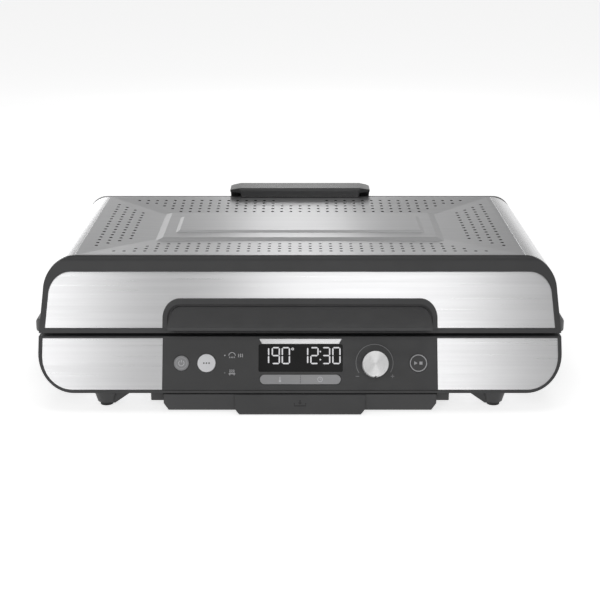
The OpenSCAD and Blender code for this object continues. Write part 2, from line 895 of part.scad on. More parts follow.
module temperature_sensor() {
    color("#c2a878")
    translate([0, well_c_y, 0]) {
        translate([0, 0, well_floor_z + well_wall]) cylinder(r = 9, h = 2);
        translate([0, 0, well_floor_z + well_wall + 2])
            cylinder(r = 5, h = plate_z - gap - well_floor_z - well_wall - 2);
    }
}

module thermal_fuse() {
    y = well_c_y + well_d / 2 - well_step;
    color("#d8c9a0")
    translate([70, y + joint, well_floor_z + 14]) {
        translate([-14, 0, -5]) cube([28, 1.5, 10]);
        translate([-10, 4.5, 0]) rotate([0, 90, 0]) cylinder(r = 3.1, h = 20);
    }
}

module heat_shield() {
    color("#a8aaac")
    difference() {
        union() {
            well_box(well_step + 4, well_floor_z - shield_drop - shield_t,
                     well_floor_z - shield_drop);
            for (sx = [-1, 1], sy = [-1, 1])
                translate([sx * (well_w / 2 - 30), well_c_y + sy * (well_d / 2 - 26),
                           well_floor_z - shield_drop - shield_t / 2])
                    cylinder(r = 4, h = shield_drop + shield_t / 2);
        }
        translate([-chute_w / 2 - joint, drain_y - chute_d / 2 - joint,
                   well_floor_z - 6])
            cube([chute_w + 2 * joint, chute_d + 2 * joint, 6]);
    }
}

module grease_chute() {
    wall = 1.2;
    color("#8e9092")
    difference() {
        translate([-chute_w / 2, drain_y - chute_d / 2, foot_h])
            cube([chute_w, chute_d, plate_z - 9 - foot_h]);
        translate([-chute_w / 2 + wall, drain_y - chute_d / 2 + wall, foot_h - over])
            cube([chute_w - 2 * wall, chute_d - 2 * wall, plate_z]);
    }
}

// ---------------------------------------------------------------- grill plate

module grill_plate() {
    out = well_wall + gap;
    in = out + plate_wall;
    rib_zone = in + gutter_w;
    rib_half = well_w / 2 - rib_zone;
    ribs = floor(2 * (rib_half - rib_w) / rib_pitch);
    color("#2e2e30")
    difference() {
        union() {
            difference() {
                well_box(out, plate_z, plate_z + plate_h);
                well_box(in, plate_z + plate_floor, z_top);
            }
            // spout under the drain slot
            translate([-drain_w / 2 - spout_wall, drain_y - drain_d / 2 - spout_wall,
                       plate_z - 6])
                cube([drain_w + 2 * spout_wall, drain_d + 2 * spout_wall, 6 + over]);
            // ribs with round backs
            for (i = [0:ribs]) {
                x = (i - ribs / 2) * rib_pitch;
                translate([x - rib_w / 2, well_c_y - well_d / 2 + rib_zone,
                           plate_z + plate_floor - 0.5])
                    cube([rib_w, well_d - 2 * rib_zone, rib_h + 0.5 - rib_w / 2]);
                translate([x, well_c_y - well_d / 2 + rib_zone,
                           plate_z + plate_floor + rib_h - rib_w / 2])
                    rotate([-90, 0, 0]) cylinder(r = rib_w / 2, h = well_d - 2 * rib_zone);
            }
        }
        // gutter, sunk round the ribs
        difference() {
            well_box(in + 1, plate_z + plate_floor - 1.5, z_top);
            well_box(rib_zone - 2, plate_z, z_top);
        }
        translate([-drain_w / 2, drain_y - drain_d / 2, plate_z - 8])
            cube([drain_w, drain_d, plate_h + 8]);
    }
}

// ---------------------------------------------------------------- drip tray

module drip_tray() {
    z_flange = rail_z + gap;
    color("#39393b")
    difference() {
        union() {
            // pan
            translate([-tray_half, tray_front_y + 3, tray_lift])
                cube([2 * tray_half, tray_d - 3, z_flange + tray_t - tray_lift]);
            // flanges that run on the rails
            translate([-tray_half - tray_flange, tray_front_y + 3, z_flange])
                cube([2 * (tray_half + tray_flange), tray_d - 3, tray_t]);
            // front, its lower corners cut off
            intersection() {
                along_x(-tray_w / 2, tray_w / 2)
                    polygon([[tray_front_y, tray_top_z],
                             [tray_front_y, tray_lift + tray_lean_h],
                             [tray_front_y + tray_lean, tray_lift],
                             [tray_front_y + tray_foot_d, tray_lift],
                             [tray_front_y + tray_front_t, tray_lift + tray_lean_h],
                             [tray_front_y + tray_front_t, tray_top_z]]);
                along_y(tray_front_y - over, tray_front_y + tray_foot_d + over)
                    polygon([[-tray_w / 2, tray_top_z],
                             [-tray_w / 2, tray_lift + tray_chamfer_h],
                             [tray_chamfer - tray_w / 2, tray_lift],
                             [tray_w / 2 - tray_chamfer, tray_lift],
                             [tray_w / 2, tray_lift + tray_chamfer_h],
                             [tray_w / 2, tray_top_z]]);
            }
        }
        translate([-tray_half + tray_t, tray_front_y + tray_foot_d + tray_t,
                   tray_lift + tray_t])
            cube([2 * (tray_half - tray_t), tray_d - tray_foot_d - 2 * tray_t, foot_h]);
    }
}

module tray_pull() {
    half = pull_w / 2;
    top = tray_top_z;
    low = tray_lift - 1.5;
    color("#353537")
    intersection() {
        along_x(-half, half)
            polygon([[tray_front_y - 1, top],
                     [tray_front_y - pull_reach, low + 3],
                     [tray_front_y - pull_reach + 0.5, low],
                     [tray_front_y + 1, low], [tray_front_y + 1, tray_lift - joint],
                     [tray_front_y - 1.5, tray_lift + 2],
                     [tray_front_y - joint, top]]);
        along_y(tray_front_y - 30, tray_front_y + 30) {
            polygon([[-half, top], [half, top], [half - 1.3, low + 5],
                     [half - pull_cut, low], [pull_cut - half, low],
                     [1.3 - half, low + 5]]);
        }
    }
}

module tray_rail(side) {
    x0 = tray_w / 2 - 1.5 - tray_flange + gap + 0.7;
    x1 = tray_w / 2 + 1;
    rail_front_y = front_y(foot_h) + rail_setback;
    rail_l = tray_front_y + tray_d - rail_front_y + 4;
    mirror([side < 0 ? 1 : 0, 0, 0]) translate([0, rail_front_y, 0]) {
        translate([x1, 0, rail_z - rail_lip])
            cube([rail_w, rail_l, foot_h - rail_z + rail_lip]);
        translate([x0, 0, rail_z - rail_lip]) cube([x1 - x0 + 1, rail_l, rail_lip]);
    }
}

module tray_rail_left() { color("#303032") tray_rail(-1); }
module tray_rail_right() { color("#303032") tray_rail(1); }

// ---------------------------------------------------------------- feet and handles

module foot(sx, sy) {
    neck_r = pad_d / 2 + 2.6;
    top_r = pad_d / 2 + 7.2;
    color("#38383a")
    translate([sx * feet_span_x / 2, sy * feet_span_y / 2, 0])
        difference() {
            union() {
                translate([0, 0, pad_h - 2])
                    cylinder(r1 = neck_r, r2 = top_r, h = foot_h - pad_h + 2);
                // rib towards the middle of the grill
                mirror([sx > 0 ? 1 : 0, 0, 0]) along_y(-fin_w / 2, fin_w / 2)
                    polygon([[0, fin_low], [neck_r, fin_low], [fin_l, fin_high],
                             [fin_l, foot_h], [0, foot_h]]);
            }
            translate([0, 0, -over]) cylinder(r = pad_d / 2 + fit, h = pad_h + over);
        }
}

module foot_front_left() { foot(-1, -1); }
module foot_front_right() { foot(1, -1); }
module foot_rear_left() { foot(-1, 1); }
module foot_rear_right() { foot(1, 1); }

module foot_pads() {
    color("#1c1c1e")
    for (sx = [-1, 1], sy = [-1, 1])
        translate([sx * feet_span_x / 2, sy * feet_span_y / 2, 0])
            cylinder(r = pad_d / 2, h = pad_h - fit);
}

module side_handle(side) {
    x0 = body_w / 2;
    x1 = x0 + side_reach;
    z1 = z_base_top - 2.7;
    z0 = z1 - side_h;
    y_c = seam_front_y + 60 + side_len / 2;
    wall = 4;
    mirror([side < 0 ? 1 : 0, 0, 0])
        difference() {
            intersection() {
                along_y(y_c - side_len / 2, y_c + side_len / 2)
                    polygon([[x0, z0], [x1 - 1, z0], [x1, z0 + 1.5], [x1, z1 - 8],
                             [x1 - 2.5, z1 - 3], [x1 - 9, z1], [x0, z1]]);
                translate([x0, y_c, 0]) linear_extrude(z_top)
                    round_rect(2 * side_reach, side_len, 16);
            }
            translate([x0 + 1.5, y_c - side_len / 2 + wall + 4, z0 - over])
                cube([side_reach - wall - 1.5, side_len - 2 * wall - 8,
                      side_h - wall + over]);
        }
}

module side_handle_left() { color("#3a3a3c") side_handle(-1); }
module side_handle_right() { color("#3a3a3c") side_handle(1); }

// Screws through the edge of the bottom cover into the housing's ledge
function screw_places() = [for (x = [-1, 1], y = [-1, 0, 1])
    [x * (floor_half - lip / 2), (floor_front_y + floor_rear_y) / 2
        + y * ((floor_rear_y - floor_front_y) / 2 - 20)]];

module screw_holes(z, h) {
    for (place = screw_places())
        translate([place[0], place[1], z]) cylinder(r = screw_r + joint, h = h);
}

module case_screws() {
    color("#b0b1b3")
    for (place = screw_places()) translate([place[0], place[1], foot_h]) {
        mirror([0, 0, 1]) cylinder(r = screw_head_r, h = 1.6);
        translate([0, 0, -0.8]) cylinder(r = screw_r, h = cover_plate_t + shell_t + 0.6);
    }
}

module cable_gland() {
    color("#2a2a2c")
    translate([gland_x, rear_y, gland_z]) rotate([-90, 0, 0])
        difference() {
            union() {
                cylinder(r = gland_r + 2.5, h = 4);
                translate([0, 0, -shell_t - 5]) cylinder(r = gland_r, h = shell_t + 6);
            }
            translate([0, 0, -shell_t - 6]) cylinder(r = gland_bore_r, h = shell_t + 12);
        }
}

// ---------------------------------------------------------------- hinge

module hinge_bracket(side) {
    foot_low = hinge_z - 24;
    x = side * arm_x;
    color("#343436")
    difference() {
        union() {
            for (end = [-1, 1]) {
                lug_x = x + end * (arm_w / 2 + gap + lug_w / 2);
                along_x(lug_x - lug_w / 2, lug_x + lug_w / 2) {
                    translate([hinge_y, hinge_z]) circle(knuckle_r);
                    polygon([[rear_y, foot_low], [rear_y + 6, foot_low],
                             [hinge_y + knuckle_r, hinge_z - 6],
                             [hinge_y + knuckle_r, hinge_z], [hinge_y, hinge_z],
                             [rear_y, hinge_z - 3]]);
                }
            }
            translate([x - arm_w / 2 - gap - lug_w, rear_y, foot_low])
                cube([arm_w + 2 * gap + 2 * lug_w, 5, hinge_z - knuckle_r - 3 - foot_low]);
        }
        translate([x - pin_half - over, hinge_y, hinge_z]) rotate([0, 90, 0])
            cylinder(r = pin_d / 2 + fit, h = 2 * (pin_half + over));
    }
}

module hinge_bracket_left() { hinge_bracket(-1); }
module hinge_bracket_right() { hinge_bracket(1); }

module hinge_pins() {
    color("#c0c1c3")
    for (side = [-1, 1])
        translate([side * arm_x - pin_half, hinge_y, hinge_z]) rotate([0, 90, 0])
            cylinder(r = pin_d / 2, h = 2 * pin_half);
}

module lid_hinge_arm(side) {
    x = side * arm_x;
    color("#343436")
    difference() {
        along_x(x - arm_w / 2, x + arm_w / 2) {
            translate([hinge_y, hinge_z]) circle(knuckle_r);
            polygon([[hinge_y - 4, hinge_z], [hinge_y + knuckle_r, hinge_z],
                     [arm_back_y, hinge_z + knuckle_r], [arm_back_y, arm_top_z],
                     [rear_y + joint, arm_top_z], [rear_y + joint, hinge_z + knuckle_r]]);
        }
        translate([x - arm_w, hinge_y, hinge_z]) rotate([0, 90, 0])
            cylinder(r = pin_d / 2 + fit, h = 2 * arm_w);
    }
}

module lid_hinge_arm_left() { lid_hinge_arm(-1); }
module lid_hinge_arm_right() { lid_hinge_arm(1); }

module lid_hinge_cover() {
    front = top_rear_y - cover_lap;
    back = rear_y + cover_t;
    low = arm_top_z + joint;
    top = cover_top;
    half = cover_w / 2;
    color("#343436")
    difference() {
        intersection() {
            along_x(-half, half)
                polygon([[front, z_top + joint], [front + 0.5, top - 3], [front + 3, top],
                         [back - 4, top], [back, top - 5],
                         [back, low + 3], [back - 2, low], [rear_y + joint, low],
                         [rear_y + joint, z_top + joint]]);
            along_y(front - over, back + over)
                polygon([[-half, low], [half, low], [half, top - cover_end_h],
                         [half - cover_end_w, top], [cover_end_w - half, top],
                         [-half, top - cover_end_h]]);
            linear_extrude(top + over)
                polygon([[-half, front + cover_plan_d], [cover_plan_w - half, front],
                         [half - cover_plan_w, front], [half, front + cover_plan_d],
                         [half, back - 5], [half - 6, back], [6 - half, back],
                         [-half, back - 5]]);
        }
        lid_mass(-joint, 0, z_lid_low);
        // hollow under each end
        mirrored_x() translate([half - undercut_w, front - over, z_top - over])
            cube([undercut_w + over, rear_y - 2 - front, undercut_h + over]);
    }
}

// ---------------------------------------------------------------- lid

// The space between the two lid frames
module lid_bay(z0, z1) {
    along_x(-body_span / 2, body_span / 2)
        polygon([[face_y(z0, frame_depth + joint), z0], [top_rear_y - joint, z0],
                 [top_rear_y - joint, z1], [face_y(z1, frame_depth + joint), z1]]);
}

module lid_side(side) {
    intersection() {
        difference() {
            whole_depth(rear_y) lid_outline(0, z_lid_low);
            whole_depth(rear_y + shell_rim)
                lid_outline(sheet_t, z_lid_low - over);
        }
        lid_bay(z_lid_low - over, z_top + over);
        translate([side > 0 ? top_half + joint / 2 : -body_w, -body_w, 0])
            cube([body_w - top_half - joint / 2, 2 * body_w, 2 * z_top]);
    }
}

module lid_side_left() { color("#d4d5d7") lid_side(-1); }
module lid_side_right() { color("#d4d5d7") lid_side(1); }

// Everything below the dished top face, lowered by the drop
module top_block(drop) {
    w = 2 * top_half - joint;
    d = top_rear_y - top_front_y;
    dish_w = w - 2 * dish_rim;
    dish_d = d - 2 * dish_rim;
    run = (w - field_w) / 2 - dish_rim;
    depth = run * tan(dish_slope);
    field_z = field_rise - depth;
    bevel = 2.6;
    root = 1.5;
    translate([0, top_c_y, z_top - drop]) {
        difference() {
            translate([-w / 2, -d / 2, -2 * depth - over])
                cube([w, d, 2 * depth + over]);
            translate([0, 0, -depth])
                taper_block(dish_w - 2 * run, dish_d - 2 * run,
                            dish_w + 2 * over / tan(dish_slope),
                            dish_d + 2 * over / tan(dish_slope), depth + over);
        }
        translate([0, field_shift, -depth - root])
            taper_block(field_w + 2 * bevel * root, field_d + 2 * bevel * root,
                        field_w - 2 * bevel * field_rise,
                        field_d - 2 * bevel * field_rise, field_rise + root);
        translate([0, field_shift, field_z - 0.2])
            taper_block(inner_w, inner_d, inner_w - 2 * bevel * inner_rise,
                        inner_d - 2 * bevel * inner_rise, inner_rise + 0.2);
    }
}

function front_rows(k) = max(1, min(4, 18 - abs(k)));
function rear_rows(k) = abs(k) == 17 ? 2 : max(1, min(5, 18 - abs(k)));
function side_rows(k) = abs(k) - 12;

module vent(col, row) {
    translate([col * vent_pitch_x, top_c_y + row * vent_pitch_y, z_top - 20])
        cylinder(d = vent_d, h = 30, $fn = 24);
}

module vents() {
    edge = 9.9;                  // outermost rows, in row pitches from the middle
    for (k = [-18:18]) {
        for (i = [0:front_rows(k) - 1]) vent(k, i - edge);
        for (i = [abs(k) <= 2 ? 2 : 0:rear_rows(k) - 1]) vent(k, edge - i);
    }
    for (side = [-1, 1], k = [17:20], i = [-side_rows(k):side_rows(k)]) vent(side * k, i);
}

module lid_top() {
    color("#b9bbbd")
    difference() {
        intersection() {
            difference() {
                top_block(0);
                top_block(sheet_t);
            }
            lid_bay(z_top - 30, z_top + 10);
        }
        vents();
    }
}

// Ring that the two end frames push inside the sheets
module inner_flange(y0, y1) {
    clear = sheet_t + joint;
    intersection() {
        whole_depth(rear_y)
            difference() {
                lid_outline(clear, z_lid_low);
                lid_outline(clear + frame_t, z_lid_low - over);
                translate([-top_half + 6, z_top - lid_corner_r])
                    square([2 * top_half - 12, lid_corner_r + over]);
            }
        children();
    }
}

module lid_window(inset) {
    r = lid_panel_r - inset;
    low = z_lid_low + lid_frame_low + inset;
    high = band_z - inset;
    lean = lid_draft / (lid_h - lid_corner_r);
    low_half = body_w / 2 - lid_frame_side - inset - lean * (low - z_lid_low);
    high_half = low_half - lean * (high - r - low);
    polygon([[-low_half, low], [low_half, low],
             [high_half, high - r], [-high_half, high - r]]);
    translate([r - high_half, low]) square([2 * (high_half - r), high - low]);
    for (side = [-1, 1]) translate([side * (high_half - r), high - r])
        circle(r, $fn = 96);
}

module lid_front_frame() {
    color("#38383a")
    difference() {
        union() {
            intersection() {
                lid_mass(0, frame_proud, z_lid_low);
                face_layer(-20, frame_depth, z_lid_low - over, z_top + over);
            }
            inner_flange() face_layer(frame_depth - 0.5, frame_depth + flange_in,
                                      z_lid_low, z_top);
        }
        intersection() {
            through_front() lid_window(0);
            face_layer(-20, panel_t + bond, z_lid_low - over, z_top + over);
        }
    }
}

module lid_front_panel() {
    color("#cfd0d2")
    intersection() {
        through_front() lid_window(joint);
        face_layer(0, panel_t, z_lid_low, z_top);
    }
}

module lid_rear_frame() {
    color("#38383a")
    difference() {
        union() {
            intersection() {
                lid_mass(0, 0, z_lid_low);
                translate([-body_w, top_rear_y, 0]) cube([2 * body_w, 60, 2 * z_top]);
            }
            inner_flange() translate([-body_w, top_rear_y - flange_in, 0])
                cube([2 * body_w, flange_in + over, 2 * z_top]);
        }
        intersection() {
            lid_mass(frame_t, 0, z_lid_low - over);
            translate([-body_w, top_rear_y - over, 0]) cube([2 * body_w, 60, 2 * z_top]);
        }
    }
}

module lid_rim_frame() {
    low = z_lid_low + 0.6;
    h = 10;
    t = 1.5;
    half = body_w / 2 - sheet_t - lid_draft * h / (lid_h - lid_corner_r) - frame_t - 2 * joint;
    y0 = face_y(low + h, frame_depth) + joint;
    y1 = rear_y - frame_t - joint;
    color("#8f9193")
    difference() {
        translate([-half, y0, low]) cube([2 * half, y1 - y0, h]);
        translate([-half + t, y0 + t, low + t]) cube([2 * (half - t), y1 - y0 - 2 * t, h]);
        translate([-half + 9, y0 + 9, low - over])
            cube([2 * (half - 9), y1 - y0 - 18, h]);
    }
}

// Front view of the handle's flange, drawn in by the inset
module handle_outline(inset, drop = 0) {
    half = handle_w / 2 - inset;
    low = z_lid_low + lid_frame_low + joint + inset * 0.5 - drop * (inset + over);
    high = z_lid_low + lid_frame_low + joint + handle_h - inset;
    r = handle_r - inset;
    translate([-half, low]) square([2 * half, high - low - r]);
    translate([r - half, low]) square([2 * (half - r), high - low]);
    for (side = [-1, 1]) translate([side * (half - r), high - r]) circle(r);
}

// Side view of the grip, as a wedge that grows towards its lower edge
module grip_profile(inset) {
    z_low = z_lid_low + 8.4;
    z_high = z_lid_low + lid_frame_low + handle_h - handle_rim;
    polygon([[face_y(z_high - inset, 0), z_high - inset],
             [face_y(z_low, -grip_reach) + 3, z_low + 5.5 - inset],
             [face_y(z_low, -grip_reach) + inset, z_low + 3 - inset],
             [face_y(z_low, -grip_reach) + inset, z_low - (inset > 0 ? over : 0)],
             [face_y(z_low, 0), z_low - (inset > 0 ? over : 0)]]);
}

module lid_handle() {
    low = z_lid_low + lid_frame_low;
    half = handle_w / 2 - handle_rim - groove_w;
    color("#3b3b3d")
    difference() {
        union() {
            intersection() {
                through_front()
                    difference() {
                        handle_outline(0);
                        handle_outline(handle_rim);
                    }
                face_layer(-flange_t, 0, low, z_top);
            }
            intersection() {
                through_front()
                    handle_outline(handle_rim - 0.5);
                face_layer(-groove_floor, 0, low, z_top);
            }
            intersection() {
                along_x(-half, half) grip_profile(0);
                through_front() handle_outline(handle_rim + groove_w);
            }
        }
        intersection() {
            along_x(-half + grip_t, half - grip_t) grip_profile(grip_t);
            through_front() handle_outline(handle_rim + groove_w + grip_t, over);
        }
    }
}

module lid_screws() {
    color("#b0b1b3")
    for (side = [-1, 1], dz = [arm_screw_low, arm_screw_high])
        translate([side * arm_x, arm_back_y, z_seam + dz])
            rotate([-90, 0, 0]) cylinder(r = arm_screw_r, h = 1.6);
}

// ---------------------------------------------------------------- assembly

base_shell();
base_deck();
bottom_cover();
base_panel_left();
base_panel_right();
control_fascia();
display_trim();
display_window();
display_module();
control_board();
button_switches();
key_pivot();
knob_encoder();
power_board();
well_liner();
heat_shield();
heating_element();
element_supports();
terminal_block();
temperature_sensor();
thermal_fuse();
grease_chute();
cable_gland();
cable_inlet_plate();
hinge_bracket_left();
hinge_bracket_right();
hinge_pins();
foot_front_left();
foot_front_right();
foot_rear_left();
foot_rear_right();
foot_pads();
tray_rail_left();
tray_rail_right();
side_handle_left();
side_handle_right();
case_screws();
lid_top();
lid_side_left();
lid_side_right();
lid_front_frame();
lid_front_panel();
lid_rear_frame();
lid_rim_frame();
lid_handle();
lid_hinge_cover();
lid_hinge_arm_left();
lid_hinge_arm_right();
lid_screws();
grill_plate();
drip_tray();
tray_pull();
knob_cap();
knob_core();
encoder_shaft();
power_button();
mode_button();
start_button();
temp_time_key();
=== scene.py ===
"""Looks of the electric indoor grill: materials, printed signs, light and camera.

The solids come from the shared frame and stay where they are. Sizes are in metres, apart
from the signs, which are drawn in millimetres on the face that carries them.
"""

import math

import bmesh
import bpy
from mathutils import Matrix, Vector


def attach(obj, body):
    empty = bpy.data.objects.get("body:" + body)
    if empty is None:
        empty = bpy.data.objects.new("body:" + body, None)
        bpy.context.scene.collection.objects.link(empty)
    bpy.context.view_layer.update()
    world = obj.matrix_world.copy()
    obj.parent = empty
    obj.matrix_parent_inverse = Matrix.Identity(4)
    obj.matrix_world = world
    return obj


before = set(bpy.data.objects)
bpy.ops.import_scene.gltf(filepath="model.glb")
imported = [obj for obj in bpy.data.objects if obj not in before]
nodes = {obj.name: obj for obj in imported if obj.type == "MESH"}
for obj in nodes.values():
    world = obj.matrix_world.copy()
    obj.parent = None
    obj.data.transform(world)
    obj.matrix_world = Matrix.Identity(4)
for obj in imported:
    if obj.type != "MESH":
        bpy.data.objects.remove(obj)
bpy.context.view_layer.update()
scene = bpy.context.scene

# ---------------------------------------------------------------- camera
LENS_MM = 75
SENSOR_MM = 36
EYE = (0, -1.316, 0.493)
EYE_TILT = 71.84

lens = bpy.data.cameras.new("view")
lens.lens = LENS_MM
lens.sensor_width = SENSOR_MM
eye = bpy.data.objects.new("view", lens)
eye.location = EYE
eye.rotation_euler = (math.radians(EYE_TILT), 0, 0)
scene.collection.objects.link(eye)
scene.camera = eye


# ---------------------------------------------------------------- materials
def even(waves):
    """The same number of waves in a metre every way."""
    return (waves, waves, waves)


def lines(across, along, axis):
    """Waves in a metre for lines that run along one axis, 0 for X to 2 for Z."""
    waves = [across, across, across]
    waves[axis] = along
    return waves


def grey(value, tint=0.0):
    return (value, value, value * (1 + tint))


class Shader:
    """A principled material whose nodes read places on the object itself."""

    def __init__(self, name, **values):
        self.material = bpy.data.materials.new(name)
        self.material.use_nodes = True
        self.tree = self.material.node_tree
        self.bsdf = self.tree.nodes["Principled BSDF"]
        for socket, value in values.items():
            self.bsdf.inputs[socket.replace("_", " ")].default_value = value
        places = self.tree.nodes.new("ShaderNodeTexCoord")
        self.place = places.outputs["Object"]
        self.facing = places.outputs["Normal"]

    def link(self, source, target):
        self.tree.links.new(source, target)

    def node(self, kind, **settings):
        made = self.tree.nodes.new(kind)
        for key, value in settings.items():
            setattr(made, key, value)
        return made

    def noise(self, waves, detail=3.0, roughness=0.5):
        """Noise with its own number of waves in a metre along each axis."""
        place = self.node("ShaderNodeMapping")
        place.inputs["Scale"].default_value = waves
        self.link(self.place, place.inputs["Vector"])
        noise = self.node("ShaderNodeTexNoise")
        noise.inputs["Scale"].default_value = 1
        noise.inputs["Detail"].default_value = detail
        noise.inputs["Roughness"].default_value = roughness
        self.link(place.outputs[0], noise.inputs["Vector"])
        return noise.outputs["Fac"]

    def spread(self, source, low, high, start=0.3, end=0.7):
        """source from start to end becomes low to high."""
        spread = self.node("ShaderNodeMapRange")
        for key, value in (("From Min", start), ("From Max", end),
                           ("To Min", low), ("To Max", high)):
            spread.inputs[key].default_value = value
        self.link(source, spread.inputs["Value"])
        return spread.outputs["Result"]

    def tones(self, source, dark, light, start=0.3, end=0.7):
        """source from start to end turns the base colour from dark to light."""
        ramp = self.node("ShaderNodeValToRGB")
        for element, position, colour in zip(ramp.color_ramp.elements, (start, end),
                                             (dark, light)):
            element.position = position
            element.color = (*colour, 1)
        self.link(source, ramp.inputs["Fac"])
        self.link(ramp.outputs["Color"], self.bsdf.inputs["Base Color"])
        return ramp.outputs["Color"]

    def roughness(self, source, low, high):
        self.link(self.spread(source, low, high), self.bsdf.inputs["Roughness"])

    def bump(self, source, strength, distance=0.0001):
        bump = self.node("ShaderNodeBump")
        bump.inputs["Strength"].default_value = strength
        bump.inputs["Distance"].default_value = distance
        self.link(source, bump.inputs["Height"])
        self.link(bump.outputs["Normal"], self.bsdf.inputs["Normal"])


def plastic(name, tone, rough, grain=1500, strength=0.25, colours=None, **values):
    """Moulded plastic: fine spark erosion grain, a little uneven in tone."""
    made = Shader(name, **values)
    dark, light = colours or (grey(tone * 0.9, 0.02), grey(tone * 1.1, 0.03))
    made.tones(made.noise(even(9)), dark, light)
    made.roughness(made.noise(even(60)), rough - 0.04, rough + 0.04)
    made.bump(made.noise(even(grain), 2), strength, 0.0002)
    return made.material


def brushed(name, tone, rough, axis, across=None, strength=0.07, anisotropic=0.85,
            holes_shaded=False):
    """Brushed steel, its lines along an axis of the object and its highlights across.

    The sheet's holes can get painted shade: its upright faces, the sides of the holes, are
    painted near black for the dark inside seen through them.
    """
    made = Shader(name, Metallic=1.0, Anisotropic=anisotropic)
    streaks = made.noise(lines(260, 2, axis), 4, 0.6)
    colour = made.tones(streaks, grey(tone * 0.96, 0.01), grey(min(1, tone * 1.03), 0.01))
    if holes_shaded:
        # Painted shade: upright faces, the sides of the holes, turn near black
        facing = made.node("ShaderNodeSeparateXYZ")
        made.link(made.facing, facing.inputs[0])
        flatness = made.node("ShaderNodeMath", operation="ABSOLUTE")
        made.link(facing.outputs["Z"], flatness.inputs[0])
        wall_shade = made.node("ShaderNodeMix", data_type="RGBA")
        made.link(made.spread(flatness.outputs[0], 0, 1, 0.4, 0.7), wall_shade.inputs[0])
        wall_shade.inputs[6].default_value = (*grey(0.02), 1)
        made.link(colour, wall_shade.inputs[7])
        made.link(wall_shade.outputs[2], made.bsdf.inputs["Base Color"])
    fine = lines(900, 7, axis)
    made.roughness(made.noise(fine, 4, 0.6), rough - 0.03, rough + 0.04)
    made.bump(made.noise(fine, 3), strength)
    if across:
        tangent = made.node("ShaderNodeCombineXYZ")
        for i, value in enumerate(across):
            tangent.inputs[i].default_value = value
    else:
        tangent = made.node("ShaderNodeTangent", direction_type="RADIAL", axis="Y")
    made.link(tangent.outputs[0], made.bsdf.inputs["Tangent"])
    return made.material


def sheet_metal(name, tone, rough, tint=0.0, strength=0.1, grain=400):
    """Rolled, plated or coated sheet: cloudy, with a fine grain."""
    made = Shader(name, Metallic=1.0)
    made.tones(made.noise(even(30), 4), grey(tone * 0.9, tint), grey(tone * 1.06, tint))
    made.roughness(made.noise(even(90), 4), rough - 0.06, rough + 0.06)
    made.bump(made.noise(even(grain), 2), strength)
    return made.material


def spun(name, tone, rough, centre, axis):
    """Turned metal with fine circles round its axis."""
    made = Shader(name, Metallic=1.0, Anisotropic=0.95)
    outward = made.node("ShaderNodeVectorMath", operation="SUBTRACT")
    outward.inputs[1].default_value = centre
    made.link(made.place, outward.inputs[0])
    tangent = made.node("ShaderNodeVectorTransform", vector_type="VECTOR",
                        convert_from="OBJECT", convert_to="WORLD")
    made.link(outward.outputs[0], tangent.inputs[0])
    made.link(tangent.outputs[0], made.bsdf.inputs["Tangent"])
    around = made.node("ShaderNodeVectorMath", operation="CROSS_PRODUCT")
    around.inputs[1].default_value = axis
    made.link(outward.outputs[0], around.inputs[0])
    radius = made.node("ShaderNodeVectorMath", operation="LENGTH")
    made.link(around.outputs[0], radius.inputs[0])
    circles = made.node("ShaderNodeTexNoise", noise_dimensions="1D")
    circles.inputs["Scale"].default_value = 2600
    circles.inputs["Detail"].default_value = 2
    made.link(radius.outputs["Value"], circles.inputs["W"])
    made.tones(circles.outputs["Fac"], grey(tone * 0.94), grey(min(1, tone * 1.04)))
    made.roughness(circles.outputs["Fac"], rough - 0.05, rough + 0.05)
    made.bump(circles.outputs["Fac"], 0.1)
    return made.material


def brass(name):
    """Plain brass with a dull, uneven shine."""
    made = Shader(name, Metallic=1.0)
    made.tones(made.noise(even(120)), (0.5, 0.37, 0.18), (0.66, 0.5, 0.26))
    made.roughness(made.noise(even(300)), 0.25, 0.4)
    return made.material


def glow(name, tone, strength):
    """Lit print behind the window, a little uneven."""
    made = Shader(name, Roughness=0.4, Emission_Strength=strength)
    made.tones(made.noise(even(40)), grey(tone * 0.9, 0.02), grey(tone, 0.03))
    made.bsdf.inputs["Emission Color"].default_value = (*grey(tone, 0.03), 1)
    return made.material


# The sloped front: u to the right, s up the slope and d inward, in millimetres
SEAM_FRONT_Y = -143.5189
SEAM_Z = 72.5
TILT_COS = 0.9063078
TILT_SIN = 0.4226183
INWARD = (0, TILT_COS, -TILT_SIN)
UP_SLOPE = (0, TILT_SIN, TILT_COS)
KNOB = (74.2, -30.6)


def on_face(u, s, d):
    return Vector((u, SEAM_FRONT_Y + TILT_COS * d + TILT_SIN * s,
                   SEAM_Z - TILT_SIN * d + TILT_COS * s)) / 1000


GREEN_BOARD = ((0.008, 0.06, 0.022), (0.014, 0.1, 0.035))

housing = plastic("black_housing", 0.043, 0.44)
cover = plastic("black_cover", 0.033, 0.2, 600, 0.01)
fascia = plastic("fascia_black", 0.037, 0.4, 2600, 0.1)
window = plastic("window_black", 0.005, 0.2, 300, 0.02, Specular_IOR_Level=0.15)
steel_front = brushed("steel_brushed", 0.78, 0.3, 0, UP_SLOPE)
steel_side = brushed("steel_side", 0.72, 0.26, 1)
# The top sheet gets painted shade in the sides of its holes
steel_top = brushed("steel_top", 0.62, 0.34, 0, (0, 1, 0), 0.05, 0.5, True)
trim_metal = brushed("trim_silver", 0.64, 0.3, 0, UP_SLOPE, 0.05)
knob_metal = spun("knob_metal", 0.64, 0.34, on_face(*KNOB, 0), INWARD)
zinc = sheet_metal("zinc_steel", 0.5, 0.36, 0.04)
aluminised = sheet_metal("aluminised_steel", 0.5, 0.42, 0.02, 0.2, 700)
sheath = sheet_metal("element_sheath", 0.1, 0.5, -0.06, 0.2, 900)
sensor_brass = brass("sensor_brass")
button_grey = plastic("button_grey", 0.3, 0.4, 2600, 0.1)
button_light = plastic("button_light", 0.86, 0.4, 2600, 0.1)
key_grey = plastic("key_grey", 0.35, 0.4, 2600, 0.1)
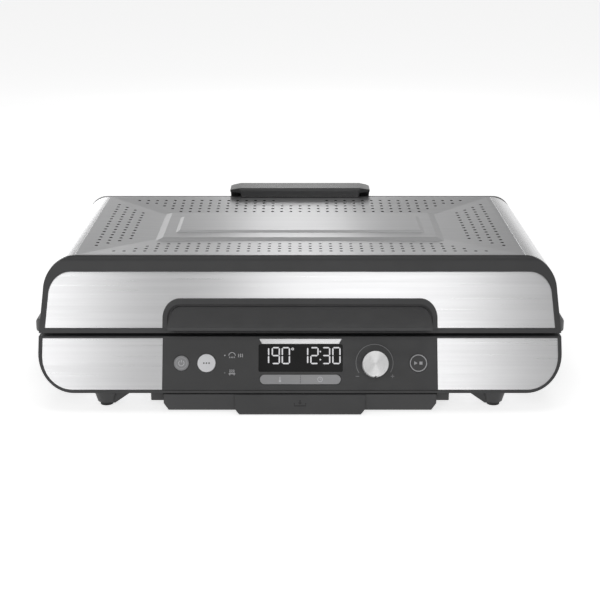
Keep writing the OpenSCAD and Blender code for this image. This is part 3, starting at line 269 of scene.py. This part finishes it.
rubber = plastic("rubber_black", 0.02, 0.7, 900, 0.3)
coating = plastic("plate_coating", 0.02, 0.34, 1800, 0.3)
ceramic = plastic("ceramic_white", 0.62, 0.5, 900, 0.15)
board = plastic("board_green", 0.03, 0.35, 300, 0.1, GREEN_BOARD)
module = plastic("module_white", 0.6, 0.45, 900, 0.1)
bright_print = plastic("print_bright", 0.62, 0.5, 900, 0.05)
soft_print = plastic("print_soft", 0.42, 0.5, 900, 0.05)
dim_print = plastic("print_dim", 0.22, 0.5, 900, 0.05)
dark_print = plastic("print_dark", 0.05, 0.5, 900, 0.05)
black_print = plastic("print_black", 0.012, 0.5, 900, 0.05)
digits_lit = glow("digits_lit", 0.75, 0.35)

# Every other node has the material of the housing
FINISH = {
    "control_fascia": fascia, "display_window": window, "display_trim": trim_metal,
    "base_panel_left": steel_front, "base_panel_right": steel_front,
    "lid_front_panel": steel_front, "lid_side_left": steel_side,
    "lid_side_right": steel_side, "lid_top": steel_top, "lid_hinge_cover": cover,
    "bottom_cover": zinc, "case_screws": zinc, "lid_screws": zinc, "hinge_pins": zinc,
    "lid_rim_frame": zinc, "encoder_shaft": zinc, "element_supports": zinc,
    "button_switches": zinc, "knob_encoder": zinc,
    "well_liner": aluminised, "heat_shield": aluminised, "grease_chute": aluminised,
    "knob_cap": knob_metal, "power_button": button_grey, "mode_button": button_light,
    "start_button": fascia, "temp_time_key": key_grey,
    "foot_pads": rubber, "cable_gland": rubber, "grill_plate": coating,
    "heating_element": sheath, "terminal_block": ceramic, "thermal_fuse": ceramic,
    "control_board": board, "power_board": board, "display_module": module,
    "key_pivot": module, "temperature_sensor": sensor_brass,
}

# Edges of moulded and folded pieces are broken; thin plates keep theirs
SHARP = {"lid_top", "display_window", "control_fascia", "well_liner", "heat_shield",
         "bottom_cover"}
EDGE_WIDTH = 0.0005
EDGE_ANGLE = 40
WELD_REACH = 0.00001
for name, node in nodes.items():
    node.data.materials.clear()
    node.data.materials.append(FINISH.get(name, housing))
    if name in SHARP:
        continue
    weld = node.modifiers.new("weld", "WELD")
    weld.merge_threshold = WELD_REACH
    edges = node.modifiers.new("edges", "BEVEL")
    edges.width = EDGE_WIDTH
    edges.segments = 2
    edges.limit_method = "ANGLE"
    edges.angle_limit = math.radians(EDGE_ANGLE)
    edges.harden_normals = False
    weighted = node.modifiers.new("even", "WEIGHTED_NORMAL")
    weighted.keep_sharp = False
    node.data.shade_smooth()


# ---------------------------------------------------------------- drawing of signs
# A pixel of the picture on the sloped front: the pixel at its middle, the place there
# along s, and the millimetres for a pixel along u and s
MIDDLE_X, MIDDLE_Y = 300, 364
MIDDLE_S = -29.9
PIXEL_U, PIXEL_S = 0.993, 1.003

# Heights of the printed faces over the panels' plane, and the thickness of the print
GLASS, FASCIA, CAPS = 0.62, 0.82, 1.82
PRINT_THICK = 0.05


def place_marks(name, shapes, height, material, body, place=on_face):
    """Thin flat shapes on a plane face, each a list of (u, s) corners in millimetres."""
    mesh = bpy.data.meshes.new(name)
    bm = bmesh.new()
    for shape in shapes:
        bm.faces.new([bm.verts.new(place(u, s, -height)) for u, s in shape])
    bmesh.ops.remove_doubles(bm, verts=bm.verts, dist=1e-6)
    bmesh.ops.recalc_face_normals(bm, faces=bm.faces)
    bm.to_mesh(mesh)
    bm.free()
    mesh.materials.append(material)
    made = bpy.data.objects.new(name, mesh)
    scene.collection.objects.link(made)
    solid = made.modifiers.new("solid", "SOLIDIFY")
    solid.thickness = PRINT_THICK / 1000
    solid.offset = 0
    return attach(made, body)


def moved(centre, points):
    """Points round a centre."""
    return [(centre[0] + u, centre[1] + s) for u, s in points]


def stroke(points, width, closed=False):
    """Quads along a line of (u, s) points."""
    count = len(points)
    sides = []
    for i, (u, s) in enumerate(points):
        before = points[(i - 1) % count] if closed or i else points[i]
        after = points[(i + 1) % count] if closed or i < count - 1 else points[i]
        du, ds = after[0] - before[0], after[1] - before[1]
        length = math.hypot(du, ds)
        nu, ns = -ds / length * width / 2, du / length * width / 2
        sides.append(((u + nu, s + ns), (u - nu, s - ns)))
    last = count if closed else count - 1
    return [[sides[i][0], sides[(i + 1) % count][0], sides[(i + 1) % count][1], sides[i][1]]
            for i in range(last)]


def arc(centre, radius, start, end, steps=48):
    """Points on a circle, angles in degrees."""
    angles = [math.radians(start + (end - start) * i / steps) for i in range(steps + 1)]
    return moved(centre, [(radius * math.cos(a), radius * math.sin(a)) for a in angles])


def disc(centre, radius, steps=24):
    return [arc(centre, radius, 0, 360, steps)[:-1]]


def ring(centre, radius, width, steps=48):
    return stroke(arc(centre, radius, 0, 360, steps)[:-1], width, True)


def pixel(x, y):
    """A place on the sloped front, (u, s), from where the picture shows it."""
    return ((x - MIDDLE_X) * PIXEL_U, MIDDLE_S + (MIDDLE_Y - y) * PIXEL_S)


# ---------------------------------------------------------------- display
# Seven bars of a digit in a box one wide and two high: (x0, y0, x1, y1)
BARS = {"top": (0, 2, 1, 2), "upper_left": (0, 2, 0, 1), "upper_right": (1, 2, 1, 1),
        "middle": (0, 1, 1, 1), "lower_left": (0, 1, 0, 0), "lower_right": (1, 1, 1, 0),
        "bottom": (0, 0, 1, 0)}
LIT = {"0": ("top", "upper_left", "upper_right", "lower_left", "lower_right", "bottom"),
       "1": ("upper_right", "lower_right"),
       "2": ("top", "upper_right", "middle", "lower_left", "bottom"),
       "3": ("top", "upper_right", "middle", "lower_right", "bottom"),
       "9": ("top", "upper_left", "upper_right", "middle", "lower_right", "bottom")}
# Each digit with the picture columns between which its bars run
DIGITS = (("1", 261.5, 268.6), ("9", 272.3, 279.3), ("0", 282.3, 289.4),
          ("1", 300.6, 307.7), ("2", 310.9, 318), ("3", 322.7, 329.7), ("0", 332.9, 340))
DIGIT_ROWS = (347.6, 363.3)
BAR = 1.35


def digit(value, left, low, wide, high):
    """The lit bars of a digit, with pointed ends."""
    made = []
    h = BAR / 2
    for bar in LIT[value]:
        x0, y0, x1, y1 = BARS[bar]
        u0, s0 = left + x0 * wide, low + y0 * high / 2
        u1, s1 = left + x1 * wide, low + y1 * high / 2
        du, ds = u1 - u0, s1 - s0
        length = math.hypot(du, ds)
        eu, es = du / length, ds / length
        gap = BAR * 0.2
        a, b = (u0 + eu * gap, s0 + es * gap), (u1 - eu * gap, s1 - es * gap)
        made.append([a, (a[0] + eu * h - es * h, a[1] + es * h + eu * h),
                     (b[0] - eu * h - es * h, b[1] - es * h + eu * h), b,
                     (b[0] - eu * h + es * h, b[1] - es * h - eu * h),
                     (a[0] + eu * h + es * h, a[1] + es * h - eu * h)])
    return made


shown = []
for value, x0, x1 in DIGITS:
    left, top = pixel(x0, DIGIT_ROWS[0])
    right, low = pixel(x1, DIGIT_ROWS[1])
    shown += digit(value, left, low, right - left, top - low)
for y in (351.5, 359.5):
    shown += disc(pixel(320.3, y), 0.8)
shown += ring(pixel(292.6, 348.9), 0.95, 0.7, 24)
place_marks("display_digits", shown, GLASS, digits_lit, "base")

# ---------------------------------------------------------------- signs of the fascia
# An arc round the knob from minus to plus
minus, plus = pixel(357.3, 376), pixel(392.4, 376)
flat_bar = [(-1.7, 0), (1.7, 0)]
upright_bar = [(0, -1.7), (0, 1.7)]
marks = stroke(arc((74, -28.5), 18.4, -31, 213, 64), 0.6)
for centre in (minus, plus):
    marks += stroke(moved(centre, flat_bar), 0.7)
place_marks("knob_scale", marks, FASCIA, dim_print, "base")
place_marks("knob_scale_plus", stroke(moved(plus, upright_bar), 0.7), FASCIA, dim_print,
            "base")


def heat_waves(centre, count=3, pitch=1.9, sway=0.45, low=-1.7, step=0.57, turn=2.1):
    """Upright wavy lines side by side, as for heat."""
    made = []
    for k in range(count):
        wave = [(k * pitch + sway * math.sin(t * turn), low + t * step) for t in range(7)]
        made += stroke(moved(centre, wave), 0.55)
    return made


# Two cooking ways, each with a lamp at its left: ribs under a lid, a plate with heat
ribs, plate = pixel(229, 356.5), pixel(229, 373.5)
sign = stroke(arc(moved(ribs, [(3, 0.9)])[0], 3.2, 0, 180, 16), 0.55)
for k in range(4):
    u = 0.6 + k * 1.6
    sign += stroke(moved(ribs, [(u, 0), (u, -1.4)]), 0.6)
sign += heat_waves(moved(ribs, [(9.5, 1.1)])[0])
sign += disc(moved(ribs, [(-4.2, 1.2)])[0], 0.65)
sign += stroke(moved(plate, [(-0.3, 0), (6.3, 0)]), 0.7)
for u in (0.9, 5.1):
    sign += stroke(moved(plate, [(u, -0.4), (u, -1.6)]), 0.6)
sign += heat_waves(moved(plate, [(1.1, 2.6)])[0])
place_marks("cooking_signs", sign, FASCIA, bright_print, "base")
place_marks("cooking_lamp", disc(moved(plate, [(-4.2, 1)])[0], 0.65), FASCIA, dim_print,
            "base")

# ---------------------------------------------------------------- signs of the buttons
POWER, MODE, START = (-117.7, -28.9), (-92.8, -28.9), (117.5, -28.9)
sign = stroke(arc(POWER, 2.7, 125, 415, 40), 0.7)
sign += stroke(moved(POWER, [(0, 0.6), (0, 3.3)]), 0.7)
place_marks("power_sign", sign, CAPS, bright_print, "power_button")
place_marks("power_ring", ring(POWER, 5.4, 0.55), CAPS, soft_print, "power_button")

dots = []
for centre in moved(MODE, [(-2.6, 0), (0, 0), (2.6, 0)]):
    dots += disc(centre, 0.75)
place_marks("mode_sign", dots, CAPS, dark_print, "mode_button")

place_marks("start_ring", ring(START, 8.1, 0.95, 64), CAPS, soft_print, "start_button")
play = moved(START, [(-4.2, 1.9), (-4.2, -1.9), (-0.9, 0)])
stop = moved(START, [(1, 1.5), (1, -1.5), (4, -1.5), (4, 1.5)])
place_marks("start_sign", [play, stop], CAPS, soft_print, "start_button")

# The two-way key: a dotted line between its halves, a thermometer and a clock
middle, heat, clock = pixel(300.4, 379.1), pixel(280, 379.1), pixel(320, 379.1)
dots = []
for k in range(5):
    dots += disc(moved(middle, [(0, -3.4 + k * 1.7)])[0], 0.42, 12)
place_marks("key_split", dots, CAPS, dark_print, "temp_time_key")
sign = disc(moved(heat, [(0, -1.6)])[0], 1.15)
sign += stroke(moved(heat, [(0, -0.9), (0, 2.6)]), 0.9)
sign += ring(clock, 2.3, 0.6, 40)
sign += stroke(moved(clock, [(0, 1.5), (0, 0), (1.2, 0)]), 0.5)
place_marks("key_signs", sign, CAPS, bright_print, "temp_time_key")

# ---------------------------------------------------------------- sign of the tray
# The leaning face of the pull lies between these depths in from the pull's box
PULL_CHIN = 0.003
PULL_BROW = 0.002
pull = nodes["tray_pull"]
corners = [pull.matrix_world @ v.co for v in pull.data.vertices]
pull_low = Vector((0, min(c.y for c in corners), min(c.z for c in corners) + PULL_CHIN))
pull_top = Vector((0, max(c.y for c in corners) - PULL_BROW, max(c.z for c in corners)))
pull_middle = (pull_low + pull_top) / 2
pull_up = (pull_top - pull_low).normalized()
pull_in = Vector((0, pull_up.z, -pull_up.y))


def on_pull(u, s, d):
    return pull_middle + (Vector((u, 0, 0)) + s * pull_up + d * pull_in) / 1000


sign = stroke([(-5.6, 0.4), (-5.6, -2.4), (5.6, -2.4), (5.6, 0.4)], 1.1)
sign += stroke([(0, 3.2), (0, 0.9)], 1.1) + [[(-2, 0.9), (0, -1.3), (2, 0.9)]]
place_marks("pull_sign", sign, 0.04, black_print, "tray", on_pull)

# ---------------------------------------------------------------- floor
FLOOR_HALF = 30
FLOOR_TONE = 0.8
# Its own light, as the camera and reflections see it, and as it falls on the grill
FLOOR_SEEN = 0.7
FLOOR_GIVEN = 0.25

floor_mesh = bpy.data.meshes.new("floor")
floor_mesh.from_pydata([(x * FLOOR_HALF, y * FLOOR_HALF, 0)
                        for x, y in ((-1, -1), (1, -1), (1, 1), (-1, 1))], [],
                       [(0, 1, 2, 3)])
floor = bpy.data.objects.new("floor", floor_mesh)
scene.collection.objects.link(floor)
floor_paint = bpy.data.materials.new("floor_pale")
floor_paint.use_nodes = True
tree = floor_paint.node_tree
pale = tree.nodes["Principled BSDF"]
pale.inputs["Base Color"].default_value = (*grey(FLOOR_TONE), 1)
pale.inputs["Roughness"].default_value = 0.9
pale.inputs["Specular IOR Level"].default_value = 0.0
path = tree.nodes.new("ShaderNodeLightPath")
share = tree.nodes.new("ShaderNodeMapRange")
share.inputs["To Min"].default_value = FLOOR_SEEN
share.inputs["To Max"].default_value = FLOOR_GIVEN
lift = tree.nodes.new("ShaderNodeEmission")
lift.inputs["Color"].default_value = (1, 1, 1, 1)
both = tree.nodes.new("ShaderNodeAddShader")
for source, target in ((path.outputs["Is Diffuse Ray"], share.inputs["Value"]),
                       (share.outputs["Result"], lift.inputs["Strength"]),
                       (pale.outputs[0], both.inputs[0]),
                       (lift.outputs[0], both.inputs[1]),
                       (both.outputs[0], tree.nodes["Material Output"].inputs["Surface"])):
    tree.links.new(source, target)
floor_mesh.materials.append(floor_paint)

# ---------------------------------------------------------------- light
# White as the camera sees it; for the light, bright at the horizon and grey above.
# Each pair is the rise of the way looked, as its sine, and the strength there.
SKY = ((0.05, 1.0), (0.2, 0.42), (0.5, 0.4), (0.8, 0.12))

# Name, place, the point that it faces, width, power in watts and height
LAMPS = (
    ("overhead", (0, 0, 2.2), (0, 0, 0), 1.6, 9, 1.6),
    ("card_middle", (0.19, -2.0, 1.2), (0, -0.15, 0.1), 0.66, 4.2, 1.5),
    ("card_left", (-0.88, -2.0, 1.2), (-0.2, -0.15, 0.1), 0.6, 4.4, 1.5),
    ("card_side", (-0.8, 1.6, 0.22), (-0.25, 0, 0.14), 0.8, 1.4, 0.44),
    ("card_rear", (0, 1.85, 0.52), (0, 0, 0.14), 0.9, 0.4, 0.45),
    ("card_rear_middle", (-0.01, 1.85, 0.95), (0, 0, 0.14), 0.3, 0.95, 0.5),
)

world = bpy.data.worlds.new("studio")
world.use_nodes = True
scene.world = world
sky = world.node_tree
backdrop = sky.nodes["Background"]
backdrop.inputs["Color"].default_value = (1, 1, 1, 1)
path = sky.nodes.new("ShaderNodeLightPath")
way = sky.nodes.new("ShaderNodeTexCoord")
parts = sky.nodes.new("ShaderNodeSeparateXYZ")
height = sky.nodes.new("ShaderNodeValToRGB")
steps = height.color_ramp.elements
steps[1].position = SKY[-1][0]
for position, _ in SKY[1:-1]:
    steps.new(position)
steps[0].position = SKY[0][0]
for step, (_, strength) in zip(steps, SKY):
    step.color = (*grey(strength), 1)
level = sky.nodes.new("ShaderNodeMix")
level.inputs[3].default_value = 1.0
for source, target in ((way.outputs["Generated"], parts.inputs[0]),
                       (parts.outputs["Z"], height.inputs["Fac"]),
                       (path.outputs["Is Camera Ray"], level.inputs[0]),
                       (height.outputs["Color"], level.inputs[2]),
                       (level.outputs[0], backdrop.inputs["Strength"])):
    sky.links.new(source, target)

for name, place, aim, width, power, tall in LAMPS:
    lamp = bpy.data.lights.new(name, "AREA")
    lamp.energy = power
    lamp.shape = "RECTANGLE"
    lamp.size = width
    lamp.size_y = tall
    holder = bpy.data.objects.new(name, lamp)
    holder.location = place
    facing = Vector(aim) - Vector(place)
    holder.rotation_euler = facing.to_track_quat("-Z", "Y").to_euler()
    scene.collection.objects.link(holder)

scene.view_settings.view_transform = "Standard"
